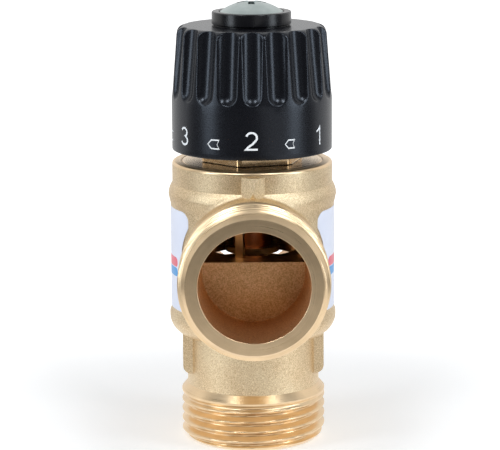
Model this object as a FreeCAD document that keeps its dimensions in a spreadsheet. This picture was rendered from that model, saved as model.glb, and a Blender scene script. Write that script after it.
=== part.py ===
"""Thermostatic mixing valve with three G 1 male ports, a rising spindle and a fluted setting knob.

Frame: +Z up, origin at the centre of the bottom port's face, the in-line side ports along Y.
The front port (-Y) is the mixed outlet, the rear port (+Y) the cold inlet, the bottom port the hot inlet.
Lengths are in millimetres and angles in degrees.
"""
import FreeCAD, Part
import Sketcher
import math
import os
import re

from FreeCAD import Placement, Rotation, Vector

doc = FreeCAD.newDocument("MixingValve")

# ------------------------------------------------------------------ driving dimensions
SIZES = {
    # ports
    "thread_major": 16.62,       # G 1 male thread, outer radius
    "port_neck": 15.25,          # radius behind the thread
    "port_face": 14.95,          # outer radius of the flat end face
    "bottom_thread_len": 11.3,   # threaded length of the bottom port
    "side_thread_len": 11.5,     # threaded length of a side port
    "thread_runout": 1.6,        # length of the flare behind a thread
    "bottom_chamfer": 1.6,
    "side_chamfer": 2.1,
    "port_fillet": 1.0,          # cast round where a side port meets the barrel
    "port_bore": 12.23,          # bore radius of every port
    "port_bore_end": 11.5,       # radius of a side port's bore at its inner wall
    "port_reach": 42.0,          # valve axis to a side port's face
    "port_height": 44.1,         # side ports' axis above the bottom face
    "port_bore_depth": 17.6,     # face to the inner wall of a side port
    # cast body
    "shoulder_r": 19.2,
    "shoulder_fillet": 4.5,
    "shoulder_z": 24.5,          # underside of the shoulder
    "shoulder_top": 29.8,
    "barrel_r": 18.75,
    "barrel_low": 31.0,
    "belt_low": 54.9,
    "belt_z": 57.3,
    "belt_r": 19.3,
    "belt_high": 60.0,
    "rim_r": 18.38,
    "rim_z": 65.0,
    "rim_round": 0.7,
    "lug_reach": 16.21,
    "lug_half": 6.2,
    "lug_low": 15.9,
    "lug_round": 1.9,
    "pointer_half": 2.6,
    "pointer_out": 2.3,
    "pointer_top": 63.9,
    "pointer_tip": 60.7,         # height where the pointer stands out most
    "pointer_low": 56.0,         # height where its ridge meets the barrel
    # passages inside the body
    "hot_floor": 27.0,
    "hot_room_r": 14.2,
    "web_low": 33.0,             # web that guides the shuttle
    "web_high": 36.2,
    "room_r": 15.2,
    "deck_low": 42.8,            # deck that holds the cage's seat ring
    "deck_high": 44.4,
    "weir_top": 46.0,
    "weir_back": 19.9,           # valve axis to the inner side of the weir
    "passage_r": 11.4,
    "passage_low": 36.4,
    "passage_high": 42.6,
    "thread_bore": 14.6,         # bore for the bonnet's thread
    "thread_bore_low": 57.6,
    "seal_bore": 15.2,
    "seal_bore_low": 60.2,
    "flange_seat": 62.0,
    # bonnet
    "flange_r": 16.1,
    "flange_gap": 0.05,
    "hex_flats": 21.0,
    "hex_corner": 11.72,         # radius that rounds the hexagon's corners
    "hex_turn": 15.6,            # turn of the hexagon and the cage about Z
    "hex_top": 72.0,
    "bonnet_neck_r": 8.5,
    "bonnet_top": 76.0,
    "spigot_r": 11.9,
    "spigot_low": 54.5,
    "spindle_thread": 7.0,
    "spindle_thread_top": 66.5,  # end of the threaded bore in the bonnet
    "lug_stop_out": 11.0,        # stop lug on the bonnet's neck
    "lug_stop_low": 72.9,
    "lug_stop_half": 9.0,        # half angle of the lug
    "lug_stop_angle": 90.0,
    # cage
    "cage_ring_in": 10.2,
    "cage_ring_out": 12.85,
    "cage_ring_low": 42.0,
    "cage_leg_width": 1.8,
    "cage_leg_in": 11.1,
    "cage_collar_out": 13.6,
    # shuttle
    "shuttle_r": 11.9,
    "shuttle_in": 10.6,
    "hot_gap": 1.9,              # shuttle above the hot seat at rest
    "cold_gap": 1.3,             # shuttle below the cage's seat ring at rest
    "hub_low": 36.4,
    "hub_high": 39.6,
    "hub_r": 3.6,
    "spoke_width": 2.2,
    # hot seat
    "hot_seat_r": 12.0,
    "hot_seat_low": 28.6,
    "hot_seat_high": 30.4,
    "seat_boss_r": 5.5,
    "seat_foot_r": 14.1,
    "seat_foot_width": 3.0,
    # wax element
    "piston_r": 1.9,
    "piston_low": 37.6,
    "piston_high": 43.2,
    "guide_r": 3.4,
    "guide_low": 40.4,
    "element_flange_r": 6.2,
    "element_flange_low": 43.8,
    "element_flange_high": 45.2,
    "cup_r": 4.6,
    "cup_high": 53.0,
    "cup_wall": 0.6,
    # spindle and overtravel
    "spindle_low": 55.6,
    "spindle_step": 65.0,
    "spindle_r": 5.2,
    "spindle_bore": 5.45,
    "spindle_bore_top": 63.0,
    "spline_low": 77.0,
    "spline_out": 5.6,
    "spline_in": 5.25,
    "spindle_top": 93.0,
    "plunger_r": 5.35,
    "plunger_low": 56.5,
    "plunger_high": 58.0,
    "plunger_stem": 3.2,
    "clip_low": 55.85,
    "clip_thick": 0.6,
    "clip_out": 6.0,
    # knob
    "knob_low": 67.65,
    "skirt_r": 18.3,
    "skirt_top": 79.6,
    "crown_r": 17.2,
    "crown_z": 94.0,
    "knob_top": 95.9,
    "crown_round": 2.0,
    "knob_inner_low": 16.1,
    "knob_inner_high": 13.9,
    "knob_ceiling": 91.5,
    "hub_out": 8.4,
    "knob_hub_low": 78.0,
    "flutes": 20,
    "flute_r": 2.7,
    "flute_deep_top": 1.55,
    "flute_deep_low": 1.35,
    "stop_rib_in": 9.2,
    "stop_rib_out": 11.4,
    "stop_rib_low": 72.7,
    "stop_rib_half": 30.0,
    "stop_margin": 2.25,
    "turn_back": 55.5,           # turn from rest to the lowest setting
    # collar and screw
    "collar_r": 9.05,
    "collar_low": 96.15,
    "collar_high": 99.1,
    "collar_in": 7.4,
    "collar_floor": 97.6,
    "screw_head_r": 7.15,
    "screw_dome_top": 101.4,
    "screw_rim_high": 99.0,
    "screw_shank": 2.5,
    "screw_end": 84.0,
    "recess_width": 1.5,
    "recess_reach": 3.3,
    "recess_depth": 2.4,
    # seals, springs, clearances
    "web_ring": 0.72,
    "web_ring_z": 34.6,
    "web_groove_r": 13.5,
    "web_groove_half": 0.85,
    "bonnet_ring": 0.8,
    "bonnet_ring_z": 61.1,
    "bonnet_groove_r": 13.5,
    "spindle_ring": 0.62,
    "spindle_groove_r": 3.95,
    "spindle_groove_half": 0.75,
    "seal_low_z": 69.0,
    "seal_high_z": 72.6,
    "return_wire": 0.6,
    "return_r": 6.6,
    "return_turns": 2.75,
    "over_wire": 0.55,
    "over_r": 4.2,
    "over_turns": 2.75,
    "running": 0.05,             # running clearance on a radius
    "seat_gap": 0.02,            # gap between a spring or seal and what it rests on
    # labels
    "label_thick": 0.12,
    "label_low": 31.3,
    "label_high": 54.7,
    "label_half": 39.0,          # half angle of a label
    "label_round": 2.2,
    "label_notch": 16.2,         # radius cut round a side port
}

sheet = doc.addObject("Spreadsheet::Sheet", "Sizes")
for row, (alias, value) in enumerate(SIZES.items(), start=1):
    sheet.set(f"A{row}", alias)
    sheet.set(f"B{row}", str(value))
    sheet.setAlias(f"B{row}", alias)
doc.recompute()

WORD = re.compile(r"\b[a-z][a-z_]+\b")


def linked(text):
    """An expression on the sheet from one that names its aliases alone."""
    return WORD.sub(lambda match: "Sizes." + match[0] if match[0] in SIZES else match[0], str(text))


def value(text):
    """The number that an expression gives now."""
    return float(sheet.evalExpression(linked(text)))


def bind(item, **expressions):
    """Tie properties of an object to the sheet; x, y, z and turn stand for its placement."""
    places = {"x": ".Placement.Base.x", "y": ".Placement.Base.y", "z": ".Placement.Base.z",
              "turn": ".Placement.Rotation.Angle"}
    for name, text in expressions.items():
        item.setExpression(places.get(name, name), linked(text))
    return item


# ------------------------------------------------------------------ building blocks
def make(kind, name, **expressions):
    """Add a primitive and tie its sizes and place to the sheet."""
    return bind(doc.addObject(kind, name), **expressions)


def new_body(name):
    return doc.addObject("PartDesign::Body", name)


def origin_feature(body, role):
    return next(item for item in body.Origin.OriginFeatures if item.Role == role)


def end_at(sketch, edge, point):
    """Which end of a sketch edge lies at a point: 1 is its start and 2 its end."""
    start = sketch.Geometry[edge].StartPoint
    return 1 if start.distanceToPoint(point) < 1e-6 else 2


def sketch_outline(body, plane, outline):
    """A closed outline of (u, v) or (u, v, radius) points, each tied to the sheet.

    A third value makes the edge that leaves its point an arc of that radius. The arc bulges to
    the right of its direction, or to the left if the value starts with a minus sign.
    """
    sketch = body.newObject("Sketcher::SketchObject", body.Name + "Outline")
    sketch.AttachmentSupport = [(origin_feature(body, plane), "")]
    sketch.MapMode = "FlatFace"
    points = [Vector(value(point[0]), value(point[1]), 0) for point in outline]
    edges = []
    for index, point in enumerate(outline):
        start, end = points[index], points[(index + 1) % len(points)]
        if len(point) == 2:
            edges.append(sketch.addGeometry(Part.LineSegment(start, end)))
            continue
        left = str(point[2]).startswith("-")
        radius = abs(value(point[2]))
        chord = end - start
        side = Vector(chord.y, -chord.x, 0).normalize() * (-1 if left else 1)
        rise = radius - math.sqrt(max(radius ** 2 - (chord.Length / 2) ** 2, 0))
        edges.append(sketch.addGeometry(Part.Arc(start, (start + end) / 2 + side * rise, end)))
    for index, point in enumerate(outline):
        before, here = edges[index - 1], edges[index]
        first, last = end_at(sketch, here, points[index]), end_at(sketch, before, points[index])
        sketch.addConstraint(Sketcher.Constraint("Coincident", before, last, here, first))
        for kind, text, number in (("DistanceX", point[0], points[index].x),
                                   ("DistanceY", point[1], points[index].y)):
            made = sketch.addConstraint(Sketcher.Constraint(kind, here, first, number))
            sketch.setExpression(f"Constraints[{made}]", linked(text))
        if len(point) == 3:
            made = sketch.addConstraint(Sketcher.Constraint("Radius", here, abs(value(point[2]))))
            sketch.setExpression(f"Constraints[{made}]", linked(str(point[2]).lstrip("-")))
    return sketch


def turned(name, outline):
    """A body turned about Z from an outline of (radius, height) points."""
    body = new_body(name)
    sketch = sketch_outline(body, "XZ_Plane", outline)
    turn = body.newObject("PartDesign::Revolution", name + "Turn")
    turn.Profile = (sketch, [""])
    turn.ReferenceAxis = (sketch, ["V_Axis"])
    turn.Angle = 360
    sketch.Visibility = False
    return body


def padded(name, plane, outline, length, both_ways=False):
    """A body padded from an outline, from its plane outwards or by half the length each way."""
    body = new_body(name)
    sketch = sketch_outline(body, plane, outline)
    pad = body.newObject("PartDesign::Pad", name + "Pad")
    pad.Profile = (sketch, [""])
    bind(pad, Length=length)
    pad.Midplane = both_ways
    sketch.Visibility = False
    return body


def aim(item, axis, angle):
    """Turn an object about an axis through its own origin by an angle tied to the sheet."""
    item.Placement = Placement(item.Placement.Base, Rotation(axis, value(angle)))
    return bind(item, turn=angle)


def tube(name, outer, inner, low, high):
    return turned(name, [(inner, low), (outer, low), (outer, high), (inner, high)])


def joined(name, *items):
    fuse = doc.addObject("Part::MultiFuse", name)
    fuse.Shapes = list(items)
    return fuse


def shared(name, *items):
    common = doc.addObject("Part::MultiCommon", name)
    common.Shapes = list(items)
    return common


def without(name, base, tool):
    cut = doc.addObject("Part::Cut", name)
    cut.Base = base
    cut.Tool = tool
    return cut


NODES = {}


def node(label, item):
    """Give a finished sub-part its name."""
    item.Label = label
    NODES[label] = item
    return item


# ------------------------------------------------------------------ cast body
def side_port(name, angle):
    """The outside of a side port, turned about its own axis and laid along Y."""
    thread_end = "port_reach - side_thread_len"
    port = turned(name, [
        (0, 0),
        ("port_neck", 0),
        ("port_neck", thread_end + " - thread_runout"),
        ("thread_major", thread_end),
        ("thread_major", "port_reach - side_chamfer"),
        ("port_face", "port_reach"),
        (0, "port_reach"),
    ])
    bind(port, z="port_height")
    port.Placement.Rotation = Rotation(Vector(1, 0, 0), angle)
    return port


def side_bore(name, angle):
    """The bore of a side port, which narrows towards its flat inner wall."""
    bore = turned(name, [
        (0, "port_reach - port_bore_depth"),
        ("port_bore_end", "port_reach - port_bore_depth"),
        ("port_bore", "port_reach - port_bore_depth / 4"),
        ("port_bore", "port_reach + 1"),
        (0, "port_reach + 1"),
    ])
    bind(bore, z="port_height")
    bore.Placement.Rotation = Rotation(Vector(1, 0, 0), angle)
    return bore


def passage(name, outline):
    """A cored passage: a side profile in the YZ plane, kept inside a round of its own."""
    profile = padded(name + "Profile", "YZ_Plane", outline, "4 * passage_r", both_ways=True)
    around = make("Part::Cylinder", name + "Round", Radius="passage_r", Height="2 * port_reach",
                  y="-port_reach", z="port_height")
    around.Placement.Rotation = Rotation(Vector(1, 0, 0), -90)
    return shared(name, profile, around)


def valve_body():
    bottom_thread = "bottom_thread_len"
    round_foot = "port_neck - (shoulder_r - shoulder_fillet)"
    barrel = turned("Barrel", [
        (0, 0),
        ("port_face", 0),
        ("thread_major", "bottom_chamfer"),
        ("thread_major", bottom_thread),
        ("port_neck", bottom_thread + " + thread_runout"),
        ("port_neck", f"shoulder_z + shoulder_fillet - sqrt(shoulder_fillet ^ 2 - ({round_foot}) ^ 2)",
         "shoulder_fillet"),
        ("shoulder_r", "shoulder_z + shoulder_fillet"),
        ("shoulder_r", "shoulder_top"),
        ("barrel_r", "barrel_low"),
        ("barrel_r", "belt_low", "2 * belt_r"),
        ("belt_r", "belt_z", "0.25 * belt_r"),
        ("rim_r", "belt_high"),
        ("rim_r", "rim_z - rim_round", "rim_round"),
        ("rim_r - rim_round", "rim_z"),
        (0, "rim_z"),
    ])
    lugs = padded("Lugs", "XZ_Plane", [
        ("lug_reach", "shoulder_z + shoulder_fillet / 2"),
        ("-lug_reach", "shoulder_z + shoulder_fillet / 2"),
        ("-lug_reach", "lug_low + lug_round", "lug_round"),
        ("-(lug_reach - lug_round)", "lug_low"),
        ("lug_reach - lug_round", "lug_low", "lug_round"),
        ("lug_reach", "lug_low + lug_round"),
    ], "2 * lug_half", both_ways=True)
    wedge = padded("PointerWedge", "XY_Plane", [
        ("-pointer_half * 1.4", "-rim_r + pointer_out / 2"),
        (0, "-(rim_r + pointer_out)"),
        ("pointer_half * 1.4", "-rim_r + pointer_out / 2"),
    ], "pointer_top")
    slope = padded("PointerSlope", "YZ_Plane", [
        ("-rim_r + pointer_out", "pointer_low"),
        ("-rim_r", "pointer_low"),
        ("-(rim_r + pointer_out)", "pointer_tip"),
        ("-(rim_r + pointer_out / 2)", "pointer_top"),
        ("-rim_r + pointer_out", "pointer_top"),
    ], "4 * pointer_half", both_ways=True)
    pointer = shared("Pointer", wedge, slope)
    tee = joined("BodyTee", barrel, side_port("FrontPort", 90), side_port("RearPort", -90))
    doc.recompute()
    rounded = doc.addObject("Part::Fillet", "BodyRounded")
    rounded.Base = tee
    rounded.Edges = [(index, value("port_fillet"), value("port_fillet"))
                     for index, edge in enumerate(tee.Shape.Edges, start=1) if is_port_root(edge)]
    outside = joined("BodyOutside", rounded, lugs, pointer)
    web_bore = "shuttle_r + running"
    deck_bore = "cage_ring_out + running"
    axis_bores = turned("AxisBores", [
        (0, -1),
        ("port_bore", -1),
        ("port_bore", "hot_floor"),
        ("hot_room_r", "hot_floor"),
        ("hot_room_r", "web_low"),
        (web_bore, "web_low"),
        (web_bore, "web_ring_z - web_groove_half"),
        ("web_groove_r", "web_ring_z - web_groove_half"),
        ("web_groove_r", "web_ring_z + web_groove_half"),
        (web_bore, "web_ring_z + web_groove_half"),
        (web_bore, "web_high"),
        ("room_r", "web_high"),
        ("room_r", "deck_low"),
        (deck_bore, "deck_low"),
        (deck_bore, "deck_high"),
        ("room_r", "deck_high"),
        ("room_r", "thread_bore_low"),
        ("thread_bore", "thread_bore_low"),
        ("thread_bore", "seal_bore_low"),
        ("seal_bore", "seal_bore_low"),
        ("seal_bore", "flange_seat"),
        ("flange_r + flange_gap", "flange_seat"),
        ("flange_r + flange_gap", "rim_z + 1"),
        (0, "rim_z + 1"),
    ])
    wall = "port_reach - port_bore_depth + 0.1"
    over_weir = passage("OverWeir", [
        ("-room_r / 2", "deck_high"),
        ("-weir_back", "deck_high"),
        ("-weir_back", "weir_top"),
        (f"-({wall})", "weir_top"),
        (f"-({wall})", "port_height + port_bore"),
        ("-room_r / 2", "port_height + port_bore"),
    ])
    under_web = passage("UnderWeb", [
        ("room_r / 2", "passage_low"),
        (wall, "passage_low"),
        (wall, "passage_high"),
        ("room_r / 2", "passage_high"),
    ])
    inside = joined("BodyInside", axis_bores, side_bore("FrontBore", 90),
                    side_bore("RearBore", -90), over_weir, under_web)
    return node("valve_body", without("ValveBody", outside, inside))


def is_port_root(edge):
    """True for an edge where a side port's neck runs into the barrel, belt or shoulder."""
    neck, height = value("port_neck"), value("port_height")
    reach = value("port_reach - side_thread_len - thread_runout") - 0.5
    points = edge.discretize(9)
    on_neck = all(abs(math.hypot(p.x, p.z - height) - neck) < 0.02 for p in points)
    return on_neck and all(abs(p.y) < reach for p in points)


# ------------------------------------------------------------------ bonnet, cage and seats
def sector(name, inner, outer, low, high, middle, half):
    """A block between two radii, two heights and two angles about Z."""
    ring = doc.addObject("Part::Cylinder", name + "Outer")
    bind(ring, Radius=outer, Height=f"({high}) - ({low})", Angle=f"2 * ({half})", z=low)
    aim(ring, Vector(0, 0, 1), f"({middle}) - ({half})")
    hole = make("Part::Cylinder", name + "Inner", Radius=inner, Height=f"({high}) - ({low})", z=low)
    return without(name, ring, hole)


def bonnet():
    stem_bore = "spindle_r + running"
    thread_bore = "spindle_thread + running"
    plug = turned("BonnetPlug", [
        (thread_bore, "spigot_low"),
        ("spigot_r", "spigot_low"),
        ("spigot_r", "thread_bore_low"),
        ("thread_bore - running", "thread_bore_low"),
        ("thread_bore - running", "seal_bore_low"),
        ("bonnet_groove_r", "seal_bore_low"),
        ("bonnet_groove_r", "flange_seat"),
        ("flange_r", "flange_seat"),
        ("flange_r", "rim_z"),
        ("bonnet_neck_r", "rim_z"),
        ("bonnet_neck_r", "bonnet_top"),
        (stem_bore, "bonnet_top"),
        (stem_bore, "spindle_thread_top"),
        (thread_bore, "spindle_thread_top"),
    ])
    prism = make("Part::Prism", "HexPrism", Circumradius="hex_flats / 2 / cos(30)",
                 Height="hex_top - rim_z + 1", z="rim_z - 1")
    prism.Polygon = 6
    aim(prism, Vector(0, 0, 1), "hex_turn")
    round_bar = make("Part::Cylinder", "HexRound", Radius="hex_corner",
                     Height="hex_top - rim_z + 1", z="rim_z - 1")
    core = make("Part::Cylinder", "HexCore", Radius="(bonnet_neck_r + spindle_thread) / 2",
                Height="hex_top - rim_z + 1", z="rim_z - 1")
    hexagon = without("Hexagon", shared("HexBar", prism, round_bar), core)
    stop = sector("StopLug", "bonnet_neck_r - 0.5", "lug_stop_out", "lug_stop_low", "bonnet_top - 0.4",
                  "lug_stop_angle", "lug_stop_half")
    return node("bonnet", joined("Bonnet", plug, hexagon, stop))


def guide_cage():
    legs_high = "spigot_low"
    seat_ring = tube("SeatRing", "cage_ring_out", "cage_ring_in", "cage_ring_low", "deck_high")
    collar = tube("CageCollar", "cage_collar_out", "spigot_r + flange_gap", legs_high,
                  "thread_bore_low - seat_gap")
    wall = tube("CageWall", "cage_ring_out", "cage_leg_in", "deck_high", legs_high)
    bars = []
    for index in range(2):
        bar = make("Part::Box", f"CageBar{index}", Length="4 * cage_ring_out", Width="cage_leg_width",
                   Height="spigot_low - deck_high")
        turn = f"hex_turn + 60 + {90 * index}"
        bind(bar, x=f"-2 * cage_ring_out * cos({turn}) + cage_leg_width / 2 * sin({turn})",
             y=f"-2 * cage_ring_out * sin({turn}) - cage_leg_width / 2 * cos({turn})", z="deck_high")
        aim(bar, Vector(0, 0, 1), turn)
        bars.append(bar)
    legs = shared("CageLegs", wall, joined("CageBars", *bars))
    return node("guide_cage", joined("GuideCage", seat_ring, legs, collar))


def hot_seat():
    disc = turned("SeatDisc", [
        (0, "hot_seat_low"),
        ("hot_seat_r", "hot_seat_low"),
        ("hot_seat_r", "hot_seat_high"),
        ("seat_boss_r", "hot_seat_high"),
        ("seat_boss_r", "hot_seat_high + 1"),
        (0, "hot_seat_high + 1"),
    ])
    feet = []
    for index in range(3):
        foot = make("Part::Box", f"SeatFoot{index}", Length="seat_foot_r", Width="seat_foot_width",
                    Height="hot_seat_low - hot_floor + 1")
        turn = str(30 + 120 * index)
        bind(foot, x=f"seat_foot_width / 2 * sin({turn})", y=f"-seat_foot_width / 2 * cos({turn})",
             z="hot_floor")
        aim(foot, Vector(0, 0, 1), turn)
        feet.append(foot)
    rim = tube("FootRim", "seat_foot_r", "seat_boss_r", "hot_floor", "hot_seat_low + 1")
    return node("hot_seat", joined("HotSeat", disc, shared("SeatFeet", joined("FeetBars", *feet), rim)))


# ------------------------------------------------------------------ wax element and shuttle
def element_cup():
    wall = "cup_r - cup_wall"
    return node("element_cup", turned("ElementCup", [
        (wall, "element_flange_high"),
        ("cup_r", "element_flange_high"),
        ("cup_r", "cup_high - 2 * cup_wall", "2 * cup_wall"),
        ("cup_r - 2 * cup_wall", "cup_high"),
        (0, "cup_high"),
        (0, "cup_high - cup_wall"),
        (wall, "cup_high - cup_wall"),
    ]))


def wax_charge():
    return node("wax_charge", turned("WaxCharge", [
        (0, "element_flange_high + seat_gap"),
        ("cup_r - cup_wall - seat_gap", "element_flange_high + seat_gap"),
        ("cup_r - cup_wall - seat_gap", "cup_high - cup_wall - seat_gap"),
        (0, "cup_high - cup_wall - seat_gap"),
    ]))


def element_guide():
    bore = "piston_r + running"
    return node("element_guide", turned("ElementGuide", [
        (bore, "guide_low"),
        ("guide_r", "guide_low"),
        ("guide_r", "element_flange_low"),
        ("element_flange_r", "element_flange_low"),
        ("element_flange_r", "element_flange_high"),
        (0, "element_flange_high"),
        (0, "piston_high + 0.1"),
        (bore, "piston_high + 0.1"),
    ]))


def element_piston():
    return node("element_piston", make("Part::Cylinder", "ElementPiston", Radius="piston_r",
                                       Height="piston_high - piston_low", z="piston_low"))


def shuttle():
    low, high = "hot_seat_high + hot_gap", "cage_ring_low - cold_gap"
    lip = 0.4
    sleeve = turned("ShuttleSleeve", [
        (f"shuttle_in + {lip}", low),
        (f"shuttle_r - {lip}", low),
        ("shuttle_r", f"{low} + {lip}"),
        ("shuttle_r", f"{high} - {lip}"),
        (f"shuttle_r - {lip}", high),
        (f"shuttle_in + {lip}", high),
        ("shuttle_in", f"{high} - {lip}"),
        ("shuttle_in", f"{low} + {lip}"),
    ])
    hub = make("Part::Cylinder", "ShuttleHub", Radius="hub_r", Height="hub_high - hub_low", z="hub_low")
    spokes = []
    for index in range(3):
        spoke = make("Part::Box", f"ShuttleSpoke{index}", Length="(shuttle_in + shuttle_r) / 2",
                     Width="spoke_width", Height="hub_high - hub_low - 0.6")
        turn = str(90 + 120 * index)
        bind(spoke, x=f"spoke_width / 2 * sin({turn})", y=f"-spoke_width / 2 * cos({turn})",
             z="hub_low")
        aim(spoke, Vector(0, 0, 1), turn)
        spokes.append(spoke)
    socket = make("Part::Cylinder", "PistonSocket", Radius="piston_r + running",
                  Height="hub_high", z="piston_low")
    return node("shuttle", without("Shuttle", joined("ShuttleSolid", sleeve, hub, *spokes), socket))


def coil(name, label, radius, wire, low, high, turns):
    """A coil spring between two heights, swept along a helix."""
    helix = make("Part::Helix", name + "Path", Radius=radius,
                 Height=f"({high}) - ({low}) - 2 * ({wire}) - 2 * seat_gap",
                 Pitch=f"(({high}) - ({low}) - 2 * ({wire}) - 2 * seat_gap) / ({turns})",
                 z=f"{low} + {wire} + seat_gap")
    section = make("Part::Circle", name + "Wire", Radius=wire, x=radius,
                   z=f"{low} + {wire} + seat_gap")
    section.Placement.Rotation = Rotation(Vector(1, 0, 0), 90)
    sweep = doc.addObject("Part::Sweep", name)
    sweep.Sections = [section]
    doc.recompute()
    sweep.Spine = (helix, [f"Edge{index + 1}" for index in range(len(helix.Shape.Edges))])
    sweep.Solid = True
    sweep.Frenet = True
    return node(label, sweep)


def seal(name, label, radius, wire, height):
    return node(label, make("Part::Torus", name, Radius1=radius, Radius2=wire, z=height))


# ------------------------------------------------------------------ spindle
SPLINE_TEETH = 20


def spline(name, clearance, low, high):
    """A straight-toothed bar whose outline alternates between two radii."""
    outline = []
    for index in range(2 * SPLINE_TEETH):
        angle = 180 / SPLINE_TEETH * index
        radius = "spline_out" if index % 2 == 0 else "spline_in"
        outline.append((f"({radius} + {clearance}) * cos({angle})",
                        f"({radius} + {clearance}) * sin({angle})"))
    return bind(padded(name, "XY_Plane", outline, f"({high}) - ({low})"), z=low)


def spindle():
    groove = []
    for centre in ("seal_low_z", "seal_high_z"):
        groove += [
            ("spindle_r", f"{centre} - spindle_groove_half"),
            ("spindle_groove_r", f"{centre} - spindle_groove_half"),
            ("spindle_groove_r", f"{centre} + spindle_groove_half"),
            ("spindle_r", f"{centre} + spindle_groove_half"),
        ]
    stem = turned("SpindleStem", [
        ("spindle_bore", "spindle_low"),
        ("spindle_thread", "spindle_low"),
        ("spindle_thread", "spindle_step"),
        ("spindle_r", "spindle_step"),
        *groove,
        ("spindle_r", "spline_low + 1"),
        (0, "spline_low + 1"),
        (0, "spindle_bore_top"),
        ("spindle_bore", "spindle_bore_top"),
        ("spindle_bore", "clip_low + clip_thick + seat_gap"),
        ("clip_out + seat_gap", "clip_low + clip_thick + seat_gap"),
        ("clip_out + seat_gap", "clip_low - seat_gap"),
        ("spindle_bore", "clip_low - seat_gap"),
    ])
    teeth = spline("SpindleSpline", 0, "spline_low", "spindle_top")
    hole = make("Part::Cylinder", "ScrewHole", Radius="screw_shank + seat_gap",
                Height="spindle_top - screw_end + 1.5", z="screw_end - 1")
    return node("spindle", without("Spindle", joined("SpindleSolid", stem, teeth), hole))


def overtravel_plunger():
    return node("overtravel_plunger", turned("Plunger", [
        (0, "cup_high"),
        ("plunger_stem", "cup_high"),
        ("plunger_stem", "plunger_low"),
        ("plunger_r", "plunger_low"),
        ("plunger_r", "plunger_high"),
        (0, "plunger_high"),
    ]))


def plunger_clip():
    ring = tube("ClipRing", "clip_out", "plunger_stem + 0.4", "clip_low", "clip_low + clip_thick")
    slot = make("Part::Box", "ClipSlot", Length="2 * clip_out", Width="clip_thick * 2",
                Height="3 * clip_thick", y="-clip_thick", z="clip_low - clip_thick")
    return node("plunger_clip", without("PlungerClip", ring, slot))


# ------------------------------------------------------------------ knob, collar and screw
def flute_groove(shell):
    """One flute at +X: a groove turned about a leaning axis, with a ball-shaped lower end."""
    nose_rise = "sqrt(flute_r ^ 2 - (flute_r - flute_deep_low) ^ 2)"
    low_r, low_z = "(skirt_r - flute_deep_low + flute_r)", f"(skirt_top + {nose_rise})"
    high_r, high_z = "(crown_r - flute_deep_top + flute_r)", "crown_z"
    lean = f"atan(({low_r} - {high_r}) / ({high_z} - {low_z}))"
    length = "(knob_top - skirt_top)"
    top_r, top_z = f"({low_r} - {length} * sin({lean}))", f"({low_z} + {length} * cos({lean}))"
    sketch = sketch_outline(shell, "XZ_Plane", [
        (top_r, top_z),
        (f"{low_r} + flute_r * sin({lean})", f"{low_z} - flute_r * cos({lean})", "-flute_r"),
        (f"{low_r} - flute_r * cos({lean})", f"{low_z} - flute_r * sin({lean})"),
        (f"{top_r} - flute_r * cos({lean})", f"{top_z} - flute_r * sin({lean})"),
    ])
    groove = shell.newObject("PartDesign::Groove", "Flute")
    groove.Profile = (sketch, [""])
    groove.ReferenceAxis = (sketch, ["Edge1"])
    groove.Angle = 360
    sketch.Visibility = False
    return groove


def knob():
    shell = turned("KnobShell", [
        ("knob_inner_low", "knob_low"),
        ("skirt_r - 0.3", "knob_low", "0.3"),
        ("skirt_r", "knob_low + 0.3"),
        ("skirt_r", "skirt_top"),
        ("crown_r", "crown_z", "crown_round"),
        ("crown_r - crown_round", "knob_top"),
        ("screw_shank + 0.5", "knob_top"),
        ("screw_shank + 0.5", "spindle_top"),
        ("spline_in - 0.4", "spindle_top"),
        ("spline_in - 0.4", "knob_hub_low"),
        ("hub_out", "knob_hub_low"),
        ("hub_out", "knob_ceiling"),
        ("knob_inner_high", "knob_ceiling"),
    ])
    shell.Tip = flute_groove(shell)
    flutes = shell.newObject("PartDesign::PolarPattern", "Flutes")
    flutes.Originals = [shell.Tip]
    flutes.Axis = (origin_feature(shell, "Z_Axis"), [""])
    flutes.Angle = 360
    bind(flutes, Occurrences="flutes")
    shell.Tip = flutes
    stop_middle = "lug_stop_angle + lug_stop_half + stop_rib_half + stop_margin + turn_back"
    rib_low = sector("StopRibLow", "stop_rib_in", "stop_rib_out", "stop_rib_low", "knob_hub_low + 0.5",
                     stop_middle, "stop_rib_half")
    rib_high = sector("StopRibHigh", "hub_out - 0.5", "stop_rib_out", "knob_hub_low",
                      "knob_ceiling + 0.5", stop_middle, "stop_rib_half")
    webs = []
    for index in range(2):
        web = make("Part::Box", f"KnobWeb{index}", Length="2 * knob_inner_high + 0.6", Width="1.4",
                   Height="6", z="knob_ceiling - 5.5")
        turn = str(36 + 90 * index)
        bind(web, x=f"-(knob_inner_high + 0.3) * cos({turn}) + 0.7 * sin({turn})",
             y=f"-(knob_inner_high + 0.3) * sin({turn}) - 0.7 * cos({turn})")
        aim(web, Vector(0, 0, 1), turn)
        webs.append(web)
    socket = spline("KnobSocket", "running", "knob_hub_low - 1", "spindle_top")
    return node("knob", without("Knob", joined("KnobSolid", shell, rib_low, rib_high, *webs), socket))


def clamp_collar():
    return node("clamp_collar", turned("ClampCollar", [
        ("screw_shank + 0.3", "knob_top"),
        ("collar_r - 0.6", "knob_top"),
        ("collar_r - 0.6", "collar_low"),
        ("collar_r - 0.2", "collar_low"),
        ("collar_r", "collar_low + 0.2"),
        ("collar_r", "collar_high - 0.3", "0.3"),
        ("collar_r - 0.3", "collar_high"),
        ("collar_in + 0.2", "collar_high"),
        ("collar_in", "collar_high - 0.2"),
        ("collar_in", "collar_floor"),
        ("screw_shank + 0.3", "collar_floor"),
    ]))


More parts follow.
